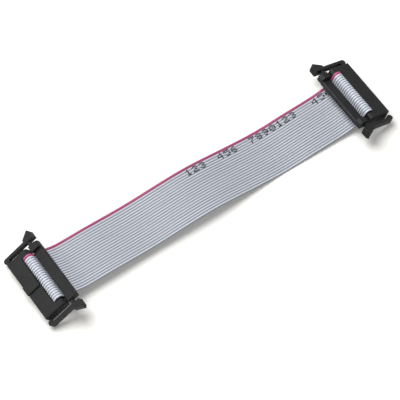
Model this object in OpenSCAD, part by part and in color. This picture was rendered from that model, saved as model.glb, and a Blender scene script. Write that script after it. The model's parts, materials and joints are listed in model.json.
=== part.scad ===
// Flat ribbon cable with a polarised, latching insulation-displacement socket on each end.
// Each socket is a housing, a snap-on cover, a strain relief with two latch levers, and one
// stamped contact for each conductor. The ribbon is folded over the cover of each socket.
//
// A socket is drawn in its own frame: X runs from the mating face to the back, Y runs along
// the row of contacts, and Z runs from the side where the ribbon leaves to the side of the fold.

/* [Ribbon] */
// Number of conductors, one for each contact
ways = 20; // [10:2:26]
// Spacing of the conductors across the ribbon
conductor_pitch = 1.27; // [1.27:0.01:1.3]
// Thickness of the ribbon
ribbon_t = 0.9; // [0.75:0.05:1.1]
// Bevel on the two edges of the ribbon
ribbon_bevel = 0.3; // [0.1:0.05:0.35]

/* [Lie] */
// Distance between the floor lines of the two mating faces
socket_span = 182; // [182:0.5:183]
// Lean of the first socket, whose key is on the fold side
lean_a = 31; // [31:0.1:31.2]
// Lean of the second socket, whose key is on the ribbon side
lean_b = 20; // [20:0.1:20.2]

/* [Housing] */
// Depth from the mating face to the ribbon
housing_d = 7.2; // [6.8:0.1:8.7]
// Thickness of the housing
housing_t = 6.1; // [6:0.1:7.4]
// Solid end beyond the outermost conductor
housing_end = 3.2; // [3:0.1:3.8]
// Bevel on the outer edges of the housing
housing_bevel = 0.25; // [0.1:0.05:0.4]
// Spacing of the two rows of contacts
row_pitch = 2.54; // [2.54:0.01:2.6]
// Width of the square hole for a pin, at the mating face
pin_hole = 1.1; // [0.9:0.05:1.2]
// Width of the funnel in front of the hole
funnel_w = 1.9; // [1.6:0.05:2]
// Depth of the funnel
funnel_d = 0.5; // [0.3:0.05:0.8]
// Thickness of the front wall, funnel included
front_wall = 1; // [0.9:0.05:1.2]
// Width of the key that polarises the socket
key_w = 4.5; // [3.5:0.1:5.5]
// Height of the key
key_h = 1; // [0.8:0.05:1.2]

/* [Cover] */
// Thickness of the cover between the two layers of ribbon
cover_t = 3.1; // [2.5:0.1:3.8]
// Width of the leg that snaps into the end of the housing
leg_w = 2.8; // [2.3:0.1:3.4]
// Thickness of the leg
leg_t = 0.9; // [0.75:0.05:1.1]
// Length of the leg past the ribbon
leg_d = 4.2; // [3.5:0.1:5]

/* [Strain relief] */
// Depth of the bar that clamps the ribbon
bar_d = 5; // [4.2:0.1:6]
// Thickness of the bar
bar_t = 2.3; // [1.9:0.1:2.8]
// Height of the bar's underside above the underside of the housing
bar_lift = 0.5; // [0.4:0.1:0.6]
// Length of each cheek beyond the ribbon
cheek_w = 3.1; // [2.6:0.1:3.8]
// Height of the cheeks
cheek_h = 4.1; // [3.4:0.1:4.9]
// Thickness of the web that joins a cheek to its lever
web_t = 1.5; // [1.2:0.1:1.8]

/* [Latch levers] */
// Gap between the end of the housing and a lever's arm
lever_gap = 2.2; // [1.9:0.1:2.6]
// Thickness of a lever's arm
arm_t = 1.4; // [1.2:0.1:1.7]
// Height of the levers' arms and hooks
lever_h = 2.9; // [2.4:0.1:3.5]
// Height of the arms' underside above the underside of the housing
lever_lift = 1.4; // [1.1:0.1:1.7]
// Reach of the hooks past the mating face
hook_reach = 0.9; // [0.7:0.05:1.1]
// Radius of the hooks' round heads
hook_r = 1.4; // [1.2:0.1:1.6]
// How far the thumb pads flare out
pad_flare = 3.2; // [2.6:0.1:3.9]
// Width of a thumb pad at the back
pad_w = 4.5; // [3.7:0.1:5.4]
// Length of a thumb pad
pad_l = 5.2; // [4.3:0.1:6.3]
// How far the thumb pads reach below the arms
pad_drop = 1; // [0.5:0.1:1.2]
// Number of grip grooves on the back of a pad
pad_grooves = 5; // [3:1:6]
// Depth of a grip groove
groove_d = 0.35; // [0.2:0.05:0.4]

/* [Contacts] */
// Thickness of the contacts' sheet metal
sheet_t = 0.25; // [0.2:0.01:0.3]
// Width of a contact's piercing fork
fork_w = 1; // [0.9:0.02:1.08]
// Slot between the two tines of the fork
fork_slot = 0.28; // [0.24:0.01:0.34]
// How far the fork's tips reach past the ribbon
fork_reach = 1.4; // [1.2:0.1:1.7]
// Gap between the two spring beams where they grip a pin
beam_gap = 0.44; // [0.38:0.01:0.52]

/* [Hidden] */
$fn = 48;
eps = 0.01;
past = 1;                        // how far a cutting shape runs past what it cuts
side_gap = 0.02;                 // between the ribbon and each thing that it lies against
end_gap = 0.15;                  // between the ribbon's edge and the end of the cover
cheek_gap = 0.2;                 // between the ribbon's edge and a cheek
snap_gap = 0.1;                  // round the legs and pegs that snap into recesses
fork_gap = 0.02;                 // round a tine in the ribbon
pocket_gap = 0.12;               // round a fork's tips in the cover, and beside it in the housing
ribbon_end_z = 0.3;              // the ribbon's cut end, above the underside of the housing

// Cavities in the housing
cavity_w = 1.9;
cavity_h = 1.8;
fork_bay_x = 5.9;

// Catch on each leg of the cover
catch_d = 0.4;
catch_l = 1.2;
catch_inset = 0.3;

// Ends of the cover, and the pegs that hold the strain relief to them
cover_bevel = 0.3;
cover_slope_x = 0.9;
cover_slope_z = 1.1;
cover_top_drop = 0.1;
peg_w = 1;
peg_h = 1.2;
peg_inset = 0.75;
peg_z = 2.3;
peg_depth = 1;

// Strain relief
bar_lead = 0.4;
bar_bevel = 0.3;
bar_shoulder = 0.5;
cheek_chamfer = 1.2;
web_x = 0.6;
web_drop = 0.4;
pad_inset = 0.25;
pad_foot_l = 0.3;
pad_foot_rise = 0.9;
pad_tip_l = 0.8;
pad_tip_drop = 1.1;
pad_root_l = 2.2;
pad_neck_l = 3.2;

// Contact stamping
plate_z = 0.62;                  // from the pin's axis to the middle of the plate
box_x = 4.4;
box_l = 1.5;
box_w = 1.6;
wall_top = 0.4;                  // of the box's walls, past the pin's axis
barb_x = 5.1;
barb_l = 0.4;
barb_d = 0.12;
neck_l = 0.6;
beam_h = 0.8;
beam_root_x = 4.2;
beam_grip_x = 1.9;
beam_tip_x = 1.25;
beam_lead = 0.2;                 // how far each beam's tip opens out
tip_l = 0.35;
slot_inset = 0.3;

function two_digits(k) = str(k < 10 ? "0" : "", k);
function contact_name(socket, k) = str(socket, "_contact_", two_digits(k));

// Across the row
ribbon_w = ways * conductor_pitch;
half_ribbon = ribbon_w / 2;
half_len = half_ribbon + housing_end;
column_pitch = 2 * conductor_pitch;
row_z = [housing_t / 2 + row_pitch / 2, housing_t / 2 - row_pitch / 2];
function conductor_y(k) = half_ribbon - (k - 0.5) * conductor_pitch;
function column_y(k) = half_ribbon - (floor((k - 1) / 2) * 2 + 1) * conductor_pitch;
function is_upper(k) = k % 2 == 1;

// From front to back
cover_x = housing_d + ribbon_t + 2 * side_gap;
cover_back = cover_x + cover_t;
bar_x = cover_back + ribbon_t + 4 * side_gap;
bar_back = bar_x + bar_d;
fold_x = cover_x + cover_t / 2;
fold_r = cover_t / 2 + side_gap + ribbon_t / 2;
crown_z = housing_t - cover_t / 2 + 0.1;     // centre of the cover's round top

cover_end_y = half_ribbon + end_gap;
catch_x = housing_d - leg_d + catch_inset;
peg_y = cover_end_y + peg_inset;

// Latch levers
cheek_y = half_ribbon + cheek_gap;
lever_y = half_len + lever_gap;              // inner face of the arm
web_l = lever_y - cheek_y - cheek_w;         // length of the web
arm_y = lever_y + arm_t;                     // outer face of the arm
hook_x = hook_r - hook_reach;
pad_back = bar_back - pad_inset;
pad_x = pad_back - pad_l;
pad_top = arm_y + pad_flare;
lever_top = lever_lift + lever_h;

// How the sockets stand on the floor, with the whole pair centred on the origin: socket a
// stands on its hooks or on its housing's edge, socket b on its key. What leans out furthest
// past the floor line is the hooks' top or the top of the mating face, key included.
function overhang(lean, face_h) =
    max(hook_reach * cos(lean) + lever_top * sin(lean), face_h * sin(lean));
shift_x = (overhang(lean_a, housing_t + key_h) - overhang(lean_b, housing_t - housing_bevel)) / 2;
stand_a = min(lever_lift * cos(lean_a) - hook_reach * sin(lean_a), housing_bevel * sin(lean_a));
mate_a = [-socket_span / 2 + shift_x, -stand_a];
mate_b = [socket_span / 2 + shift_x, key_h * cos(lean_b)];

function from_a(p) = mate_a + [p[0] * cos(lean_a) - p[1] * sin(lean_a),
                               p[0] * sin(lean_a) + p[1] * cos(lean_a)];
function from_b(p) = mate_b + [p[1] * sin(lean_b) - p[0] * cos(lean_b),
                               p[0] * sin(lean_b) + p[1] * cos(lean_b)];

// The ribbon inside a socket: up between housing and cover, over the cover, down to the exit.
// The fold's flats touch its arc from outside, so the ribbon never cuts into the cover.
fold_flats = 8;
fold_step = 180 / fold_flats;
fold_corner_r = fold_r / cos(fold_step / 2);
fold = concat(
    [[fold_x - fold_r, ribbon_end_z]],
    [for (i = [0:fold_flats - 1]) let (a = 180 - (i + 0.5) * fold_step)
        [fold_x + fold_corner_r * cos(a), crown_z + fold_corner_r * sin(a)]],
    [[fold_x + fold_r, 0]]);

// The ribbon just outside each socket, as offsets in the socket's frame from where it leaves
leave_a = [[0.15, -0.55], [0.6, -0.95], [1.25, -1.05], [2.85, -1], [4.25, -1.3], [5.3, -2.25],
           [6.3, -3.55], [7.75, -5], [9.75, -6.55]];
leave_b = [[0.1, -0.5], [0.55, -1.15], [1.55, -2], [3.4, -3.2], [5.55, -4.5]];

// The free ribbon between them, as [x, height of its underside above the floor]
lie = [
    [-64.5, 4.75], [-56, 4.75], [-49, 4.45], [-42, 4.1], [-35, 3.95], [-28, 4.15], [-21, 4.6],
    [-14, 5], [-7, 5.2], [-1, 5.05], [5, 4.5], [11, 3.6], [17, 2.6], [23, 1.7], [29, 0.9],
    [35, 0.3], [41, 0.1], [47, 0.4], [53, 0.8], [59, 1.05], [65, 1.25], [70, 1.55]
];
leave = [fold_x + fold_r, 0];
function reversed(list) = [for (i = [len(list) - 1:-1:0]) list[i]];
route = concat(
    [for (p = fold) from_a(p)],
    [for (p = leave_a) from_a(leave + p)],
    [for (p = lie) [p[0], p[1] + ribbon_t / 2]],
    [for (p = reversed(leave_b)) from_b(leave + p)],
    [for (p = reversed(fold)) from_b(p)]);

// ---- Ribbon ----

function unit(v) = v / norm(v);
function left_of(v) = [-v[1], v[0]];
// Offset that keeps the ribbon's thickness round the corner at point i of a path
function mitre(path, i) =
    let (n = len(path) - 1,
         before = left_of(unit(path[max(i, 1)] - path[max(i, 1) - 1])),
         after = left_of(unit(path[min(i, n - 1) + 1] - path[min(i, n - 1)])),
         middle = unit(before + after))
    middle / (middle * before);

module swept_strip(path, w, t, bevel) {
    outline = [[-w / 2, -t / 2 + bevel], [-w / 2 + bevel, -t / 2],
               [w / 2 - bevel, -t / 2], [w / 2, -t / 2 + bevel],
               [w / 2, t / 2 - bevel], [w / 2 - bevel, t / 2],
               [-w / 2 + bevel, t / 2], [-w / 2, t / 2 - bevel]];
    m = len(outline);
    n = len(path);
    points = [for (i = [0:n - 1]) let (off = mitre(path, i)) for (q = outline)
        [path[i][0] + off[0] * q[1], q[0], path[i][1] + off[1] * q[1]]];
    sides = [for (i = [0:n - 2]) for (j = [0:m - 1])
        let (a = i * m + j, b = i * m + (j + 1) % m) each [[a, b, b + m], [a, b + m, a + m]]];
    first_cap = [for (j = [1:m - 2]) [0, j + 1, j]];
    end = (n - 1) * m;
    last_cap = [for (j = [1:m - 2]) [end, end + j, end + j + 1]];
    polyhedron(points, concat(first_cap, sides, last_cap), convexity = 6);
}

// Openings that the tines of a socket's forks have made in the ribbon
module tine_slots(flip) {
    tine = (fork_w - fork_slot) / 2;
    for (k = [1:ways], side = [-1, 1])
        translate([housing_d - side_gap - eps,
                   flip * conductor_y(k) + side * (fork_slot + tine) / 2 - tine / 2 - fork_gap,
                   fork_z(k) - sheet_t / 2 - fork_gap])
            cube([ribbon_t + 4 * side_gap, tine + 2 * fork_gap, sheet_t + 2 * fork_gap]);
}

module ribbon() {
    color([0.74, 0.75, 0.78])
        difference() {
            swept_strip(route, ribbon_w, ribbon_t, ribbon_bevel);
            at_a() tine_slots(1);
            at_b() tine_slots(-1);
        }
}

// ---- Placing the sockets ----

module at_a() {
    translate([mate_a[0], 0, mate_a[1]]) rotate([0, -lean_a, 0]) children();
}

module at_b() {
    translate([mate_b[0], 0, mate_b[1]]) rotate([0, 0, 180]) rotate([0, -lean_b, 0]) children();
}

// ---- Housing ----

module bevelled_block(x, y, z, bevel) {
    intersection() {
        rotate([90, 0, 90]) linear_extrude(x)
            polygon([[-y / 2, bevel], [-y / 2 + bevel, 0], [y / 2 - bevel, 0], [y / 2, bevel],
                     [y / 2, z - bevel], [y / 2 - bevel, z], [-y / 2 + bevel, z], [-y / 2, z - bevel]]);
        translate([0, y / 2, 0]) rotate([90, 0, 0]) linear_extrude(y)
            polygon([[0, bevel], [bevel, 0], [x, 0], [x, z], [bevel, z], [0, z - bevel]]);
    }
}

// Four-sided funnel made where two wedges cross
module funnel() {
    half_w = funnel_w / 2;
    half_h = pin_hole / 2;
    wedge = [[-eps, -half_w], [0, -half_w], [funnel_d, -half_h],
             [funnel_d, half_h], [0, half_w], [-eps, half_w]];
    intersection() {
        translate([0, 0, -half_w]) linear_extrude(funnel_w) polygon(wedge);
        translate([0, half_w, 0]) rotate([90, 0, 0]) linear_extrude(funnel_w) polygon(wedge);
    }
}

// The room for one contact; side is where its fork stands off
module cavity(side) {
    funnel();
    translate([0, -pin_hole / 2, -pin_hole / 2]) cube([front_wall + eps, pin_hole, pin_hole]);
    translate([front_wall, -cavity_w / 2, -cavity_h / 2]) cube([housing_d, cavity_w, cavity_h]);
    bay = conductor_pitch / 2 + fork_w / 2 + pocket_gap;
    translate([fork_bay_x, side > 0 ? 0 : -bay, -cavity_h / 2]) cube([housing_d, bay, cavity_h]);
}

// Recess in the housing's end that the cover's leg slides into, with a notch for its catch
module leg_recess() {
    y = half_len - leg_t - 2 * snap_gap;
    z = (housing_t - leg_w) / 2 - snap_gap;
    translate([housing_d - leg_d - snap_gap, y, z])
        cube([leg_d + past, leg_t + past, leg_w + 2 * snap_gap]);
    translate([catch_x - snap_gap, y - catch_d, z])
        cube([catch_l + 2 * snap_gap, catch_d + eps, leg_w + 2 * snap_gap]);
}

module housing(key_up, flip) {
    color([0.16, 0.16, 0.165])
        difference() {
            union() {
                bevelled_block(housing_d, 2 * half_len, housing_t, housing_bevel);
                key();
            }
            for (k = [1:ways])
                translate([0, key_up ? flip * column_y(k) : -flip * column_y(k),
                           key_up ? row_z[is_upper(k) ? 0 : 1] : row_z[is_upper(k) ? 1 : 0]])
                    cavity((is_upper(k) ? 1 : -1) * flip * (key_up ? 1 : -1));
            leg_recess();
            mirror([0, 1, 0]) leg_recess();
        }
}

module key() {
    half_key = key_w / 2;
    top = housing_bevel + key_h;
    translate([0, 0, housing_t - housing_bevel])
        rotate([90, 0, 90]) linear_extrude(housing_d)
            polygon([[-half_key, 0], [half_key, 0], [half_key, top - housing_bevel],
                     [half_key - housing_bevel, top], [-half_key + housing_bevel, top],
                     [-half_key, top - housing_bevel]]);
}

module housing_key_down(flip) {
    translate([0, 0, housing_t]) rotate([180, 0, 0]) housing(false, flip);
}

// ---- Cover ----

module cover_leg() {
    z = (housing_t - leg_w) / 2;
    y = half_len - leg_t - snap_gap;
    translate([housing_d - leg_d, y, z]) cube([leg_d + ribbon_t, leg_t, leg_w]);
    translate([catch_x, y, z]) linear_extrude(leg_w)
        polygon([[0, eps], [0, 0], [catch_l, -catch_d + snap_gap], [catch_l, eps]]);
}

module cover_end() {
    top = housing_t - cover_top_drop;
    difference() {
        translate([0, half_len, 0]) rotate([90, 0, 0]) linear_extrude(half_len - cover_end_y)
            polygon([[housing_d, 0], [cover_back - cover_bevel, 0], [cover_back, cover_bevel],
                     [cover_back, top - cover_slope_z], [cover_back - cover_slope_x, top],
                     [housing_d, top]]);
        translate([cover_back - peg_depth, peg_y - snap_gap, peg_z - snap_gap])
            cube([peg_depth + past, peg_w + 2 * snap_gap, peg_h + 2 * snap_gap]);
    }
}

// Pockets that the tips of the forks reach into
module tip_pockets(flip) {
    w = fork_w + 2 * pocket_gap;
    h = sheet_t + 2 * pocket_gap;
    for (k = [1:ways])
        translate([cover_x - eps, flip * conductor_y(k) - w / 2, fork_z(k) - h / 2])
            cube([fork_reach + pocket_gap + eps, w, h]);
}

module cover(flip) {
    color([0.15, 0.15, 0.155]) {
        difference() {
            union() {
                translate([fold_x, half_len, crown_z]) rotate([90, 0, 0])
                    cylinder(h = 2 * half_len, r = cover_t / 2);
                translate([cover_x, -half_len, 0]) cube([cover_t, 2 * half_len, crown_z]);
            }
            tip_pockets(flip);
            for (side = [0, 1])
                mirror([0, side, 0]) translate([cover_x - past, cover_end_y, -past])
                    cube([cover_t + 2 * past, housing_end + past, housing_t + 2 * past]);
        }
        cover_end();
        mirror([0, 1, 0]) cover_end();
        cover_leg();
        mirror([0, 1, 0]) cover_leg();
    }
}

// ---- Strain relief with its latch levers ----

module lever() {
    neck_x = pad_back - pad_neck_l;
    // arm
    translate([hook_x, lever_y, lever_lift]) cube([neck_x - hook_x, arm_t, lever_h]);
    // hook's head
    translate([hook_x, arm_y - hook_r, lever_lift]) cylinder(h = lever_h, r = hook_r);
    // thumb pad, grooved across its back
    pad_h = lever_h + pad_drop;
    difference() {
        translate([0, 0, lever_top - pad_h]) linear_extrude(pad_h)
            polygon([[pad_x, lever_y + arm_t / 2], [pad_x, arm_y],
                     [pad_x + pad_foot_l, arm_y + pad_foot_rise],
                     [pad_back - pad_tip_l, pad_top], [pad_back, pad_top - pad_tip_drop],
                     [pad_back, pad_top - pad_w], [pad_back - pad_root_l, pad_top - pad_w],
                     [neck_x, lever_y]]);
        step = pad_h / (pad_grooves + 0.5);
        for (i = [0:pad_grooves - 1])
            translate([pad_back - groove_d, pad_top - pad_w - past,
                       lever_top - pad_h + (i + 0.5) * step])
                cube([past, pad_w + 2 * past, step / 2]);
    }
    // web
    translate([bar_x + web_x, lever_y - web_l - eps, lever_lift])
        cube([web_t, web_l + 2 * eps, lever_h - web_drop]);
}

module cheek() {
    translate([0, cheek_y + cheek_w, bar_lift]) rotate([90, 0, 0]) linear_extrude(cheek_w)
        polygon([[bar_x, 0], [bar_back - bar_shoulder, 0], [bar_back, bar_shoulder],
                 [bar_back, cheek_h - cheek_chamfer], [bar_back - cheek_chamfer, cheek_h],
                 [bar_x + bar_lead, cheek_h], [bar_x, cheek_h - bar_lead]]);
    translate([cover_back - peg_depth + snap_gap, peg_y, peg_z])
        cube([bar_x - cover_back + peg_depth, peg_w, peg_h]);
}

module strain_relief() {
    color([0.14, 0.14, 0.145]) {
        translate([0, cheek_y + eps, bar_lift]) rotate([90, 0, 0]) linear_extrude(2 * (cheek_y + eps))
            polygon([[bar_x, bar_lead], [bar_x + bar_lead, 0], [bar_back - bar_bevel, 0],
                     [bar_back, bar_bevel], [bar_back, bar_t - bar_shoulder],
                     [bar_back - bar_shoulder, bar_t], [bar_x + bar_bevel, bar_t],
                     [bar_x, bar_t - bar_bevel]]);
        for (side = [0, 1])
            mirror([0, side, 0]) {
                cheek();
                lever();
            }
    }
}

// ---- Contacts ----

// Height of the fork of conductor k: the upper row faces one way, the lower row the other
function fork_z(k) = is_upper(k) ? row_z[0] - plate_z : row_z[1] + plate_z;

// Half of the fork's outline, from its tip back to its root, with the fork's axis on Y = 0
function tine_outline() =
    let (tip = cover_x + fork_reach, slot = fork_slot / 2, half = fork_w / 2, mid = (slot + half) / 2)
    [[housing_d - slot_inset, slot], [tip - tip_l, slot], [tip, mid - sheet_t / 4],
     [tip, mid + sheet_t / 4], [tip - tip_l, half]];

// One stamping in the frame of its cavity, with its fork towards +Y and its plate below
module contact_stamping() {
    fork_y = conductor_pitch / 2;
    half_box = box_w / 2;
    box_back = box_x + box_l;
    barb_y = half_box + barb_d;
    tine = tine_outline();
    upper_tine = [for (p = tine) [p[0], fork_y + p[1]]];
    lower_tine = [for (i = [len(tine) - 1:-1:0]) [tine[i][0], fork_y - tine[i][1]]];
    color([0.83, 0.72, 0.45]) {
        // plate and fork
        translate([0, 0, -plate_z - sheet_t / 2]) linear_extrude(sheet_t)
            polygon(concat(
                [[box_x, -half_box], [barb_x, -barb_y], [barb_x + barb_l, -barb_y],
                 [barb_x + barb_l, -half_box], [box_back, -half_box],
                 [box_back + neck_l, fork_y - fork_w / 2]],
                lower_tine, upper_tine,
                [[box_back + neck_l / 2, fork_y + fork_w / 2], [box_back, half_box],
                 [barb_x + barb_l, half_box], [barb_x + barb_l, barb_y], [barb_x, barb_y],
                 [box_x, half_box]]));
        for (side = [0, 1])
            mirror([0, side, 0]) {
                // wall of the box
                translate([box_x, half_box - sheet_t, -plate_z - sheet_t / 2])
                    cube([box_l, sheet_t, plate_z + sheet_t / 2 + wall_top]);
                // spring beam
                translate([0, 0, -beam_h / 2]) linear_extrude(beam_h)
                    beam_outline(half_box);
            }
    }
}

module beam_outline(root_y) {
    grip = beam_gap / 2;
    polygon([[box_x + box_l / 3, root_y], [beam_root_x, root_y],
             [beam_grip_x, grip + sheet_t], [beam_tip_x, grip + sheet_t + beam_lead],
             [beam_tip_x, grip + beam_lead], [beam_grip_x, grip],
             [beam_root_x, root_y - sheet_t], [box_x + box_l / 3, root_y - sheet_t]]);
}

module contact(k, flip) {
    translate([0, flip * column_y(k), row_z[is_upper(k) ? 0 : 1]])
        if (is_upper(k))
            mirrored_if(flip < 0) contact_stamping();
        else
            rotate([180, 0, 0]) mirrored_if(flip < 0) contact_stamping();
}

module mirrored_if(yes) {
    mirror([0, yes ? 1 : 0, 0]) children();
}

// ---- Nodes ----

ribbon();
at_a() housing(true, 1);  // socket_a_housing
at_a() cover(1);  // socket_a_cover
at_a() strain_relief();  // socket_a_strain_relief
at_b() housing_key_down(-1);  // socket_b_housing
at_b() cover(-1);  // socket_b_cover
at_b() strain_relief();  // socket_b_strain_relief
for (k = [1:ways]) {
    at_a() contact(k, 1);
    at_b() contact(k, -1);
}
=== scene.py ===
"""The looks of a flat ribbon cable with a latching socket on each end.

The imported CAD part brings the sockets, which get their materials here. Its plain ribbon is
replaced by one with a ridge for each conductor, and printed digits and the copper ends of the
strands are added to that. Sizes are in millimetres, and MM turns them into Blender's metres.
"""
import json
import math

import bpy
from mathutils import Matrix, Vector


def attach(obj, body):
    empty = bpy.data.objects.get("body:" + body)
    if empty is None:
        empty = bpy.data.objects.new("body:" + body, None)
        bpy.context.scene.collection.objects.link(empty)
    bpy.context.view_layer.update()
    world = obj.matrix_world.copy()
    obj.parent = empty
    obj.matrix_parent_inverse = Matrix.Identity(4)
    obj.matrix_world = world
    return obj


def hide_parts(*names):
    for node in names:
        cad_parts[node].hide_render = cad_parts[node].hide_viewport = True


MM = 0.001

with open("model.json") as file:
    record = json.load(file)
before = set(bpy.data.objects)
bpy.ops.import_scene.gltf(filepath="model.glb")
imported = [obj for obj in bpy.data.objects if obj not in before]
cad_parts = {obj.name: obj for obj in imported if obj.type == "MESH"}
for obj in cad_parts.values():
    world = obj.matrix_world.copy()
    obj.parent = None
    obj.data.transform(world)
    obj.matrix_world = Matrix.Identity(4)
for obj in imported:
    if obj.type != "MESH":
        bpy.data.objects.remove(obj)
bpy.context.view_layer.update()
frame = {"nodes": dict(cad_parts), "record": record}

# ---- Sizes, as in part.scad ----

WAYS = 20                        # conductors in the ribbon
PITCH = 1.27                     # from one conductor to the next
RIBBON_T = 0.9
HOUSING_D = 7.2                  # from the mating face to the ribbon
HOUSING_T = 6.1
COVER_T = 3.1
SIDE_GAP = 0.02                  # between the ribbon and each thing that it lies against
RIBBON_END_Z = 0.3               # the ribbon's cut end, above the underside of the housing
CROWN_Z = HOUSING_T - (COVER_T / 2 - 0.1)    # centre of the cover's round top
HALF_RIBBON = WAYS * PITCH / 2
FOLD_X = HOUSING_D + RIBBON_T + 2 * SIDE_GAP + COVER_T / 2
FOLD_R = COVER_T / 2 + SIDE_GAP + RIBBON_T / 2
EXIT_X = FOLD_X + FOLD_R         # where the ribbon leaves a socket

# The ribbon just outside each socket, as (back, up) in the socket's frame from where it leaves
LEAVE_A = [
    (0.15, -0.55), (0.6, -0.95), (1.25, -1.05), (2.85, -1), (4.25, -1.3), (5.3, -2.25),
    (6.3, -3.55), (7.75, -5), (9.75, -6.55),
]
LEAVE_B = [(0.1, -0.5), (0.55, -1.15), (1.55, -2), (3.4, -3.2), (5.55, -4.5)]

# The free ribbon between them, as (x, height of its underside above the floor)
LIE = [
    (-64.5, 4.75), (-56, 4.75), (-49, 4.45), (-42, 4.1), (-35, 3.95), (-28, 4.15), (-21, 4.6),
    (-14, 5), (-7, 5.2), (-1, 5.05), (5, 4.5), (11, 3.6), (17, 2.6), (23, 1.7), (29, 0.9),
    (35, 0.3), (41, 0.1), (47, 0.4), (53, 0.8), (59, 1.05), (65, 1.25), (70, 1.55),
]


# ---- Camera, at the photograph's viewing angle ----

AZIMUTH = math.radians(-36.67)
ELEVATION = math.radians(60.72)
ROLL = math.radians(2.11)
DISTANCE = 947.5 * MM
AIM = Vector((-2.61, -2.52, 0)) * MM
LENS = 189.2
SENSOR = 36
CLIP_START = 0.01                # in metres


def make_camera():
    back = Vector((math.sin(AZIMUTH) * math.cos(ELEVATION),
                   -math.cos(AZIMUTH) * math.cos(ELEVATION),
                   math.sin(ELEVATION)))
    level = Vector((math.cos(AZIMUTH), math.sin(AZIMUTH), 0))
    rise = back.cross(level)
    right = level * math.cos(ROLL) + rise * math.sin(ROLL)
    up = rise * math.cos(ROLL) - level * math.sin(ROLL)
    turned = Matrix((right, up, back)).transposed().to_4x4()
    camera = bpy.data.objects.new("camera", bpy.data.cameras.new("camera"))
    camera.data.lens = LENS
    camera.data.sensor_width = SENSOR
    camera.data.clip_start = CLIP_START
    camera.matrix_world = Matrix.Translation(AIM + back * DISTANCE) @ turned
    bpy.context.scene.collection.objects.link(camera)
    bpy.context.scene.camera = camera


# ---- Nodes of a material ----

NOISE_MIDDLE = (0.3, 0.7)        # most of a noise's values lie between these


class Shader:
    """A material's node tree, with short calls to add and join its nodes.

    An input is given as a value, or as another node's output to link to. A noise's scale is in
    waves to the metre, so 1000 is a grain of about a millimetre.
    """

    def __init__(self, name):
        self.material = bpy.data.materials.new(name)
        self.material.use_nodes = True
        self.nodes = self.material.node_tree.nodes
        self.links = self.material.node_tree.links
        self.bsdf = self.nodes["Principled BSDF"]

    def add(self, kind, inputs=None, **settings):
        node = self.nodes.new(kind)
        for key, value in settings.items():
            setattr(node, key, value)
        for key, value in (inputs or {}).items():
            self.put(node, key, value)
        return node

    def put(self, node, key, value):
        if isinstance(value, bpy.types.NodeSocket):
            self.links.new(value, node.inputs[key])
        else:
            node.inputs[key].default_value = value

    def set(self, key, value):
        self.put(self.bsdf, key, value)

    def math(self, operation, a, b=0.0, c=0.0):
        return self.add("ShaderNodeMath", {0: a, 1: b, 2: c}, operation=operation).outputs[0]

    def vary(self, base, value, spread):
        """The base, moved by up to half the spread either way as the value runs from 0 to 1."""
        return self.math("MULTIPLY_ADD", self.math("SUBTRACT", value, 0.5), spread, base)

    def place(self):
        """The piece's own coordinates, in metres."""
        return self.add("ShaderNodeTexCoord").outputs["Object"]

    def stretched_place(self, scale):
        inputs = {"Vector": self.place(), "Scale": scale}
        return self.add("ShaderNodeMapping", inputs).outputs[0]

    def noise(self, scale, detail=3.0, roughness=0.5, at=None):
        inputs = {"Vector": at or self.place(), "Scale": scale,
                  "Detail": detail, "Roughness": roughness}
        return self.add("ShaderNodeTexNoise", inputs).outputs["Fac"]

    def ramp(self, value, low, high, to_low=0.0, to_high=1.0):
        inputs = {"Value": value, "From Min": low, "From Max": high,
                  "To Min": to_low, "To Max": to_high}
        return self.add("ShaderNodeMapRange", inputs).outputs["Result"]

    def mix(self, factor, a, b):
        node = self.add("ShaderNodeMix", data_type="RGBA")
        self.put(node, 0, factor)
        for socket, value in zip([s for s in node.inputs if s.type == "RGBA"], (a, b)):
            if isinstance(value, bpy.types.NodeSocket):
                self.links.new(value, socket)
            else:
                socket.default_value = (*value, 1.0)
        return next(s for s in node.outputs if s.type == "RGBA")

    def bump(self, height, distance, strength=1.0, normal=None):
        inputs = {"Height": height, "Distance": distance, "Strength": strength}
        if normal is not None:
            inputs["Normal"] = normal
        return self.add("ShaderNodeBump", inputs).outputs[0]

    def set_roughness(self, smooth, rough, noise):
        """Roughness that wanders between two values as a noise does."""
        self.set("Roughness", self.ramp(noise, *NOISE_MIDDLE, smooth, rough))


# ---- Materials ----

RIBBON_GREY = (0.585, 0.613, 0.68)
# Painted shade: the darker colour in the grooves between conductors, where shade falls between
# the ridges
RIBBON_GROOVE_SHADE = (0.14, 0.15, 0.18)
GROOVE_SHADE_START = 0.25              # where the painted shade in the grooves starts, off a conductor's middle, as a share of the pitch
# Where the painted shade in the grooves is darkest, off a conductor's middle
GROOVE_SHADE_DARKEST = 0.44
FOLD_LOW = 7.5                   # height above the floor where the painted highlight on the folds begins
FOLD_HIGH = 9.5                  # and where it is brightest
# Painted highlight: how much paler the tops of the folds are made, for the light that they catch
FOLD_PAINTED_HIGHLIGHT = 1.22
TONE_SPREAD = 0.06               # how much the shade differs from conductor to conductor
STREAK_SPREAD = 0.14             # in streaks along the ribbon
MOTTLE_SPREAD = 0.06             # in fine mottling
EDGE_PINK = (0.46, 0.076, 0.205)
# The pink in the grooves, with the same painted shade
EDGE_PINK_GROOVE_SHADE = (0.26, 0.04, 0.115)
PINK_EDGE = WAYS - 1             # the pink's inner edge, in conductors from the plain side
PINK_BLUR = 0.03
PINK_WANDER = 0.12


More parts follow.
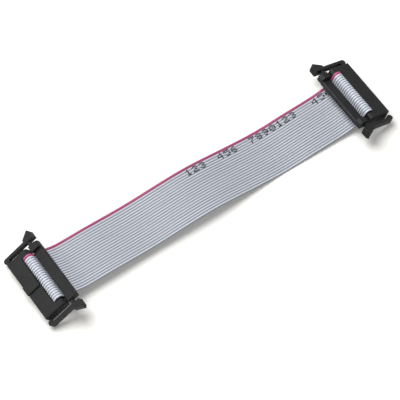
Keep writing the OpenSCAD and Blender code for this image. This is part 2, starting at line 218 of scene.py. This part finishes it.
def ribbon_pvc():
    """Grey PVC with painted shade in its grooves and a painted highlight on its folds, with one
    edge marked in pink.
    """
    s = Shader("ribbon_pvc")
    axes = s.add("ShaderNodeSeparateXYZ", {0: s.place()}).outputs
    # Painted highlight: paler high up on the folds
    fold_painted_highlight = s.ramp(axes["Z"], FOLD_LOW * MM, FOLD_HIGH * MM, 1.0, FOLD_PAINTED_HIGHLIGHT)

    # Which conductor, counted from the plain side, and how far from its middle
    lane = s.math("ADD", s.math("DIVIDE", axes["Y"], PITCH * MM), WAYS / 2)
    index = s.math("FLOOR", lane)
    off_middle = s.math("ABSOLUTE", s.math("SUBTRACT", s.math("FRACT", lane), 0.5))
    # Painted shade in the grooves between the conductors
    groove_shade = s.ramp(off_middle, GROOVE_SHADE_START, GROOVE_SHADE_DARKEST)

    tone = s.add("ShaderNodeTexWhiteNoise", {"W": index}, noise_dimensions="1D").outputs["Value"]
    streaks = s.noise(60, 3, 0.6, s.stretched_place((0.6, 12, 0.6)))
    shade = s.vary(1.0, streaks, STREAK_SPREAD)
    shade = s.vary(shade, tone, TONE_SPREAD)
    shade = s.vary(shade, s.noise(900, 4, 0.6), MOTTLE_SPREAD)
    # The painted highlight on the folds joins the random tone here
    shade = s.math("MULTIPLY", shade, fold_painted_highlight)

    ink_edge = s.vary(lane, s.noise(1500, 2), PINK_WANDER)
    marked = s.ramp(ink_edge, PINK_EDGE - PINK_BLUR, PINK_EDGE + PINK_BLUR)
    colour = s.mix(marked, s.mix(groove_shade, RIBBON_GREY, RIBBON_GROOVE_SHADE),
                   s.mix(groove_shade, EDGE_PINK, EDGE_PINK_GROOVE_SHADE))
    shaded = s.add("ShaderNodeVectorMath", {0: colour, "Scale": shade}, operation="SCALE")
    s.set("Base Color", shaded.outputs[0])
    s.set_roughness(0.28, 0.4, s.noise(350, 4, 0.6))
    s.set("Normal", s.bump(s.noise(2600, 3), 0.02 * MM, 0.5))
    s.set("Specular IOR Level", 0.5)
    return s.material


PLASTIC_BLACK = (0.0125, 0.0128, 0.0137)
PLASTIC_CLOUDS = (0.88, 1.15)    # the darkest and the palest, against that black
PLASTIC_WORN = (0.055, 0.055, 0.057)
WEAR = 0.6                       # how much of the worn colour shows on a rubbed edge
EDGE_RADIUS = 0.1
EDGE_START = 0.995               # cosine of the turn of the face, where an edge starts
EDGE_FULL = 0.9


def socket_plastic():
    """Black moulded plastic with a fine eroded grain, faint flow marks and rubbed edges."""
    s = Shader("socket_plastic")
    rounded = s.add("ShaderNodeBevel", {"Radius": EDGE_RADIUS * MM}, samples=6).outputs[0]
    flat = s.add("ShaderNodeNewGeometry").outputs["Normal"]
    turn = s.add("ShaderNodeVectorMath", {0: rounded, 1: flat}, operation="DOT_PRODUCT")
    edge = s.math("MULTIPLY", s.ramp(turn.outputs["Value"], EDGE_START, EDGE_FULL),
                  s.ramp(s.noise(700, 4, 0.65), 0.42, 0.62))
    cloud = s.ramp(s.noise(180, 4, 0.6), 0.35, 0.65)
    dark, pale = (tuple(share * c for c in PLASTIC_BLACK) for share in PLASTIC_CLOUDS)
    body = s.mix(cloud, dark, pale)
    s.set("Base Color", s.mix(s.math("MULTIPLY", edge, WEAR), body, PLASTIC_WORN))
    s.set_roughness(0.56, 0.72, s.noise(420, 4, 0.6))
    grain = s.bump(s.noise(5200, 4, 0.7), 0.012 * MM, 0.6, rounded)
    s.set("Normal", s.bump(s.noise(260, 3), 0.05 * MM, 0.25, grain))
    s.set("Specular IOR Level", 0.42)
    return s.material


BRONZE = (0.62, 0.45, 0.2)
GOLD_FLASH = (0.72, 0.56, 0.29)


def contact_metal():
    """Bronze strip with a thin, uneven flash of gold."""
    s = Shader("contact_metal")
    s.set("Base Color", s.mix(s.ramp(s.noise(500, 3), 0.35, 0.7), BRONZE, GOLD_FLASH))
    s.set("Metallic", 1.0)
    s.set_roughness(0.24, 0.4, s.noise(900, 3, 0.6))
    s.set("Normal", s.bump(s.noise(3000, 3), 0.008 * MM, 0.5))
    return s.material


COPPER_DULL = (0.62, 0.25, 0.12)
COPPER_BRIGHT = (0.75, 0.38, 0.22)


def copper_ends():
    """Freshly cut copper, part dull and part bright."""
    s = Shader("copper_strands")
    s.set("Base Color", s.mix(s.ramp(s.noise(2500, 3), 0.3, 0.7), COPPER_DULL, COPPER_BRIGHT))
    s.set("Metallic", 1.0)
    s.set_roughness(0.28, 0.42, s.noise(4000, 3))
    return s.material


INK_BLACK = (0.008, 0.008, 0.01)
INK_THIN = (0.022, 0.022, 0.026)


def print_ink():
    """Black ink, thinner in places."""
    s = Shader("print_ink")
    s.set("Base Color", s.mix(s.ramp(s.noise(2500, 3), 0.4, 0.7), INK_BLACK, INK_THIN))
    s.set_roughness(0.4, 0.6, s.noise(1500, 3))
    s.set("Specular IOR Level", 0.3)
    return s.material


# ---- Where the sockets stand ----

class Socket:
    """A socket's own frame, placed by its mount.

    Its x runs back from the mating face, and its z from the side where the ribbon leaves to
    the side of the fold.
    """

    def __init__(self, mount_name):
        mount = next(m for m in frame["record"]["mounts"] if m["name"] == mount_name)
        self.back = -Vector(mount["axis"]).normalized()
        side = 1 if self.back.x > 0 else -1
        self.up = Vector((-side * self.back.z, 0, side * self.back.x))
        self.corner = Vector(mount["pos_m"]) - self.up * (HOUSING_T / 2 * MM)

    def at(self, x, z):
        return self.corner + (self.back * x + self.up * z) * MM


# ---- The line along the ribbon's middle ----

RISE_STEPS = 5                   # on each straight stretch inside a socket
FOLD_STEPS = 22                  # round the fold
FREE_STEP = 1.2                  # length of a step outside the sockets


def fold_line(socket):
    """From the ribbon's cut end, up and over the cover, down to where it leaves the socket."""
    points = [socket.at(FOLD_X - FOLD_R, RIBBON_END_Z + (CROWN_Z - RIBBON_END_Z) * i / RISE_STEPS)
              for i in range(RISE_STEPS)]
    for i in range(FOLD_STEPS + 1):
        a = math.pi * (1 - i / FOLD_STEPS)
        points.append(socket.at(FOLD_X + FOLD_R * math.cos(a), CROWN_Z + FOLD_R * math.sin(a)))
    points += [socket.at(EXIT_X, CROWN_Z * (1 - i / RISE_STEPS))
               for i in range(1, RISE_STEPS + 1)]
    return points


def just_outside(socket, offsets):
    return [socket.at(EXIT_X + back, up) for back, up in offsets]


def spline(a, b, c, d, t):
    """Centripetal Catmull-Rom curve from b to c."""
    k = [0.0]
    for p, q in ((a, b), (b, c), (c, d)):
        k.append(k[-1] + max((q - p).length, 1e-9) ** 0.5)
    u = k[1] + (k[2] - k[1]) * t
    ab = a.lerp(b, (u - k[0]) / (k[1] - k[0]))
    bc = b.lerp(c, (u - k[1]) / (k[2] - k[1]))
    cd = c.lerp(d, (u - k[2]) / (k[3] - k[2]))
    abc = ab.lerp(bc, (u - k[0]) / (k[2] - k[0]))
    bcd = bc.lerp(cd, (u - k[1]) / (k[3] - k[1]))
    return abc.lerp(bcd, (u - k[1]) / (k[2] - k[1]))


def free_line(start, knots, end):
    """A smooth line through the knots, joined on to both folds."""
    knots = start[-2:] + knots + end[:2]
    points = []
    for a, b, c, d in zip(knots, knots[1:], knots[2:], knots[3:]):
        steps = max(2, round((c - b).length / MM / FREE_STEP))
        points += [spline(a, b, c, d, i / steps) for i in range(steps)]
    return points[1:]            # the first is the first fold's own last point


def ribbon_line():
    first, second = Socket("socket_a_mating_face"), Socket("socket_b_mating_face")
    start = fold_line(first)
    end = fold_line(second)[::-1]
    lie = [Vector((x, 0, under + RIBBON_T / 2)) * MM for x, under in LIE]
    knots = just_outside(first, LEAVE_A) + lie + just_outside(second, LEAVE_B)[::-1]
    return start + free_line(start, knots, end) + end


def normals_of(line):
    """The direction off the ribbon's upper face at each point of its line."""
    found = []
    for i in range(len(line)):
        along = (line[min(i + 1, len(line) - 1)] - line[max(i - 1, 0)]).normalized()
        found.append(Vector((-along.z, 0, along.x)))
    return found


# ---- The ribbon ----

WEB_HALF = 0.15                  # half the thickness of the web between two conductors
LOBE_ANGLES = [-63, -42, -21, 0, 21, 42, 63]     # in degrees, round a conductor from its top


def conductor_y(k):
    return HALF_RIBBON - (k + 0.5) * PITCH


def section():
    """The ribbon's outline, as (across, off the middle): round conductors and thin webs."""
    r = RIBBON_T / 2
    top = [(HALF_RIBBON, 0.0)]
    for k in range(WAYS):
        middle = conductor_y(k)
        for angle in LOBE_ANGLES:
            a = math.radians(angle)
            outer = (k == 0 and angle < 0) or (k == WAYS - 1 and angle > 0)
            reach = PITCH / 2 if outer else r
            top.append((middle - reach * math.sin(a), r * math.cos(a)))
        if k < WAYS - 1:
            top.append((middle - PITCH / 2, WEB_HALF))
    top.append((-HALF_RIBBON, 0.0))
    return top + [(y, -z) for y, z in top[-2:0:-1]]


def new_mesh(name, points, faces, material, smooth=True):
    mesh = bpy.data.meshes.new(name)
    mesh.from_pydata(points, [], faces)
    mesh.materials.append(material)
    if smooth:
        mesh.shade_smooth()
    piece = bpy.data.objects.new(name, mesh)
    bpy.context.scene.collection.objects.link(piece)
    return piece


def make_ribbon(line, material):
    """The outline, carried along the line and closed at both ends."""
    outline = section()
    m = len(outline)
    points, faces = [], []
    for p, off in zip(line, normals_of(line)):
        points += [p + off * (z * MM) + Vector((0, y * MM, 0)) for y, z in outline]
    for i in range(len(line) - 1):
        for j in range(m):
            a, b = i * m + j, i * m + (j + 1) % m
            faces.append((a, b, b + m, a + m))
    faces.append(tuple(range(m - 1, -1, -1)))
    faces.append(tuple((len(line) - 1) * m + j for j in range(m)))
    return new_mesh("flat_ribbon", points, faces, material)


# ---- Plain digits, printed in dots along the marked edge ----

DIGITS = {
    "0": "01110 10001 10011 10101 11001 10001 01110",
    "1": "00100 01100 00100 00100 00100 00100 01110",
    "2": "01110 10001 00001 00110 01000 10000 11111",
    "3": "01110 10001 00001 00110 00001 10001 01110",
    "4": "00010 00110 01010 10010 11111 00010 00010",
    "5": "11111 10000 11110 00001 00001 10001 01110",
    "6": "00110 01000 10000 11110 10001 10001 01110",
    "7": "11111 00001 00010 00100 01000 01000 01000",
    "8": "01110 10001 10001 01110 10001 10001 01110",
    "9": "01110 10001 10001 01111 00001 00010 01100",
}
PRINTED = [(-2, "123"), (15.6, "456"), (33.5, "7890123"), (69, "456")]   # as (start, digits)
PRINT_TOP = HALF_RIBBON - 1.5 * PITCH
PRINT_LIFT = 0.02                # of the ink above the ribbon's face
DIGIT_STEP = 3.8
DOT = 0.6
DOT_STRETCH = 1.25               # along the ribbon
DOT_STEP_ALONG = 0.6
DOT_STEP_ACROSS = 0.44
DOT_SIDES = 8
DOT_RINGS = 4


def printed_dots():
    """The middle of each dot of each digit, as (x, across)."""
    for start, text in PRINTED:
        for n, digit in enumerate(text):
            for row, cells in enumerate(DIGITS[digit].split()):
                for column, cell in enumerate(cells):
                    if cell == "1":
                        yield (start + n * DIGIT_STEP + column * DOT_STEP_ALONG,
                               PRINT_TOP - row * DOT_STEP_ACROSS)


def dot_faces(base):
    """The faces of a dot whose points start at base, with its middle and then ring by ring."""
    faces = []
    for i in range(DOT_SIDES):
        j = (i + 1) % DOT_SIDES
        faces.append((base, base + 1 + i, base + 1 + j))
        for ring in range(DOT_RINGS - 1):
            inner = base + 1 + ring * DOT_SIDES
            outer = inner + DOT_SIDES
            faces.append((inner + i, outer + i, outer + j, inner + j))
    return faces


def ribbon_height(y):
    """Height of the ribbon's upper face over its middle, at y across it."""
    lane = (y + HALF_RIBBON) / PITCH
    away = abs(lane - math.floor(lane) - 0.5) * PITCH
    r = RIBBON_T / 2
    return max(WEB_HALF, math.sqrt(max(r * r - away * away, 0.0)))


def make_print(line, material):
    """Each dot is a small round patch, in rings that follow the curve of the ribbon's face."""
    offs = normals_of(line)
    first = next(i for i, p in enumerate(line) if p.x > LIE[0][0] * MM)

    def on_ribbon(x, y):
        i = first
        while line[i + 1].x < x * MM:
            i += 1
        t = (x * MM - line[i].x) / (line[i + 1].x - line[i].x)
        p = line[i].lerp(line[i + 1], t)
        off = offs[i].lerp(offs[i + 1], t)
        return p + off * ((ribbon_height(y) + PRINT_LIFT) * MM) + Vector((0, y * MM, 0))

    points, faces = [], []
    for x, y in printed_dots():
        faces += dot_faces(len(points))
        points.append(on_ribbon(x, y))
        for ring in range(1, DOT_RINGS + 1):
            r = DOT / 2 * ring / DOT_RINGS
            for i in range(DOT_SIDES):
                a = 2 * math.pi * i / DOT_SIDES
                points.append(on_ribbon(x + r * DOT_STRETCH * math.cos(a), y + r * math.sin(a)))
    return new_mesh("printed_digits", points, faces, material)


# ---- Copper strands at the ribbon's cut ends ----

STRANDS = 7                      # in each conductor: six in a ring, and one in the middle
STRAND_R = 0.06
STRAND_RING = 0.125              # radius of the ring
STRAND_PROUD = 0.015             # how far the ends stand out of the PVC
STRAND_LENGTH = 0.1              # of the stub that is modelled
STRAND_SIDES = 10
RING_TURN = 17                   # degrees from one conductor's ring to the next one's


def spoke(off, angle):
    """The direction at an angle round a strand, from off the ribbon's face."""
    return off * math.cos(angle) + Vector((0, math.sin(angle), 0))


def stub_faces(base):
    """The cut end and the side of a strand whose points start at base."""
    faces = [tuple(range(base, base + STRAND_SIDES))]
    for i in range(STRAND_SIDES):
        a, b = base + i, base + (i + 1) % STRAND_SIDES
        faces.append((a, a + STRAND_SIDES, b + STRAND_SIDES, b))
    return faces


def make_strands(line, material):
    """A short stub for each strand of each conductor, at both ends of the ribbon."""
    points, faces = [], []
    for end, inner in ((line[0], line[1]), (line[-1], line[-2])):
        out = (end - inner).normalized()
        off = Vector((-out.z, 0, out.x))
        for k in range(WAYS):
            middle = end + out * (STRAND_PROUD * MM) + Vector((0, conductor_y(k) * MM, 0))
            for n in range(STRANDS):
                turn = math.radians(360 / (STRANDS - 1) * n + RING_TURN * k)
                ring = 0 if n == STRANDS - 1 else STRAND_RING
                centre = middle + spoke(off, turn) * (ring * MM)
                faces += stub_faces(len(points))
                for depth in (0.0, -STRAND_LENGTH):
                    for i in range(STRAND_SIDES):
                        rim = spoke(off, 2 * math.pi * i / STRAND_SIDES) * (STRAND_R * MM)
                        points.append(centre + out * (depth * MM) + rim)
    return new_mesh("copper_strands", points, faces, material, smooth=False)


# ---- Floor and light ----

FLOOR_HALF = 3.0                 # in metres
FLOOR_WHITE = (0.95, 0.94, 0.905)
FLOOR_LIFT = 0.13
WORLD_STRENGTH = 0.28
KEY_FROM = (-0.2, 0.43, 1.0)     # direction to the key light from the part
KEY_DISTANCE = 1.2               # in metres
KEY_SIZE = 1.0                   # in metres
KEY_POWER = 15.6


def make_floor():
    """A plain white floor.

    It glows a little to the camera, in reflections and through glass, so that it is white where
    no shadow falls. That adds no diffuse light to the part.
    """
    s = Shader("floor")
    s.set("Base Color", (*FLOOR_WHITE, 1.0))
    s.set("Roughness", 0.9)
    s.set("Specular IOR Level", 0.1)
    path = s.add("ShaderNodeLightPath").outputs
    mirrored = s.math("ADD", path["Is Glossy Ray"], path["Is Transmission Ray"])
    seen = s.math("ADD", path["Is Camera Ray"], mirrored)
    lift = s.math("MULTIPLY", seen, FLOOR_LIFT)
    glow = s.add("ShaderNodeEmission", {"Color": (1, 1, 1, 1), "Strength": lift})
    total = s.add("ShaderNodeAddShader")
    s.links.new(s.bsdf.outputs[0], total.inputs[0])
    s.links.new(glow.outputs[0], total.inputs[1])
    s.links.new(total.outputs[0], s.nodes["Material Output"].inputs["Surface"])
    corners = [(FLOOR_HALF * x, FLOOR_HALF * y, 0)
               for x, y in ((-1, -1), (1, -1), (1, 1), (-1, 1))]
    floor = new_mesh("floor", corners, [(0, 1, 2, 3)], s.material, smooth=False)


def make_light():
    """One wide, soft key light from above, and a dim white world."""
    world = bpy.data.worlds.new("studio")
    world.use_nodes = True
    background = world.node_tree.nodes["Background"]
    background.inputs["Color"].default_value = (1, 1, 1, 1)
    background.inputs["Strength"].default_value = WORLD_STRENGTH
    bpy.context.scene.world = world

    lamp = bpy.data.lights.new("key_light", "AREA")
    lamp.shape = "DISK"
    lamp.size = KEY_SIZE
    lamp.energy = KEY_POWER
    key = bpy.data.objects.new("key_light", lamp)
    direction = Vector(KEY_FROM).normalized()
    key.location = direction * KEY_DISTANCE
    key.rotation_euler = direction.to_track_quat("Z", "Y").to_euler()
    bpy.context.scene.collection.objects.link(key)
    bpy.context.scene.view_settings.view_transform = "Standard"


# ---- Putting it together ----

def finish_cad_nodes():
    """Give each CAD node its material. The plain ribbon is replaced, so it needs none."""
    plastic, metal = socket_plastic(), contact_metal()
    for name, node in frame["nodes"].items():
        if name == "ribbon":
            continue
        node.data.materials.clear()
        node.data.materials.append(metal if "contact" in name else plastic)


make_camera()
line = ribbon_line()
ribbon = make_ribbon(line, ribbon_pvc())
printed = make_print(line, print_ink())
strands = make_strands(line, copper_ends())
for piece in (ribbon, printed, strands):
    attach(piece, "root")
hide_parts("ribbon")
finish_cad_nodes()
make_floor()
make_light()
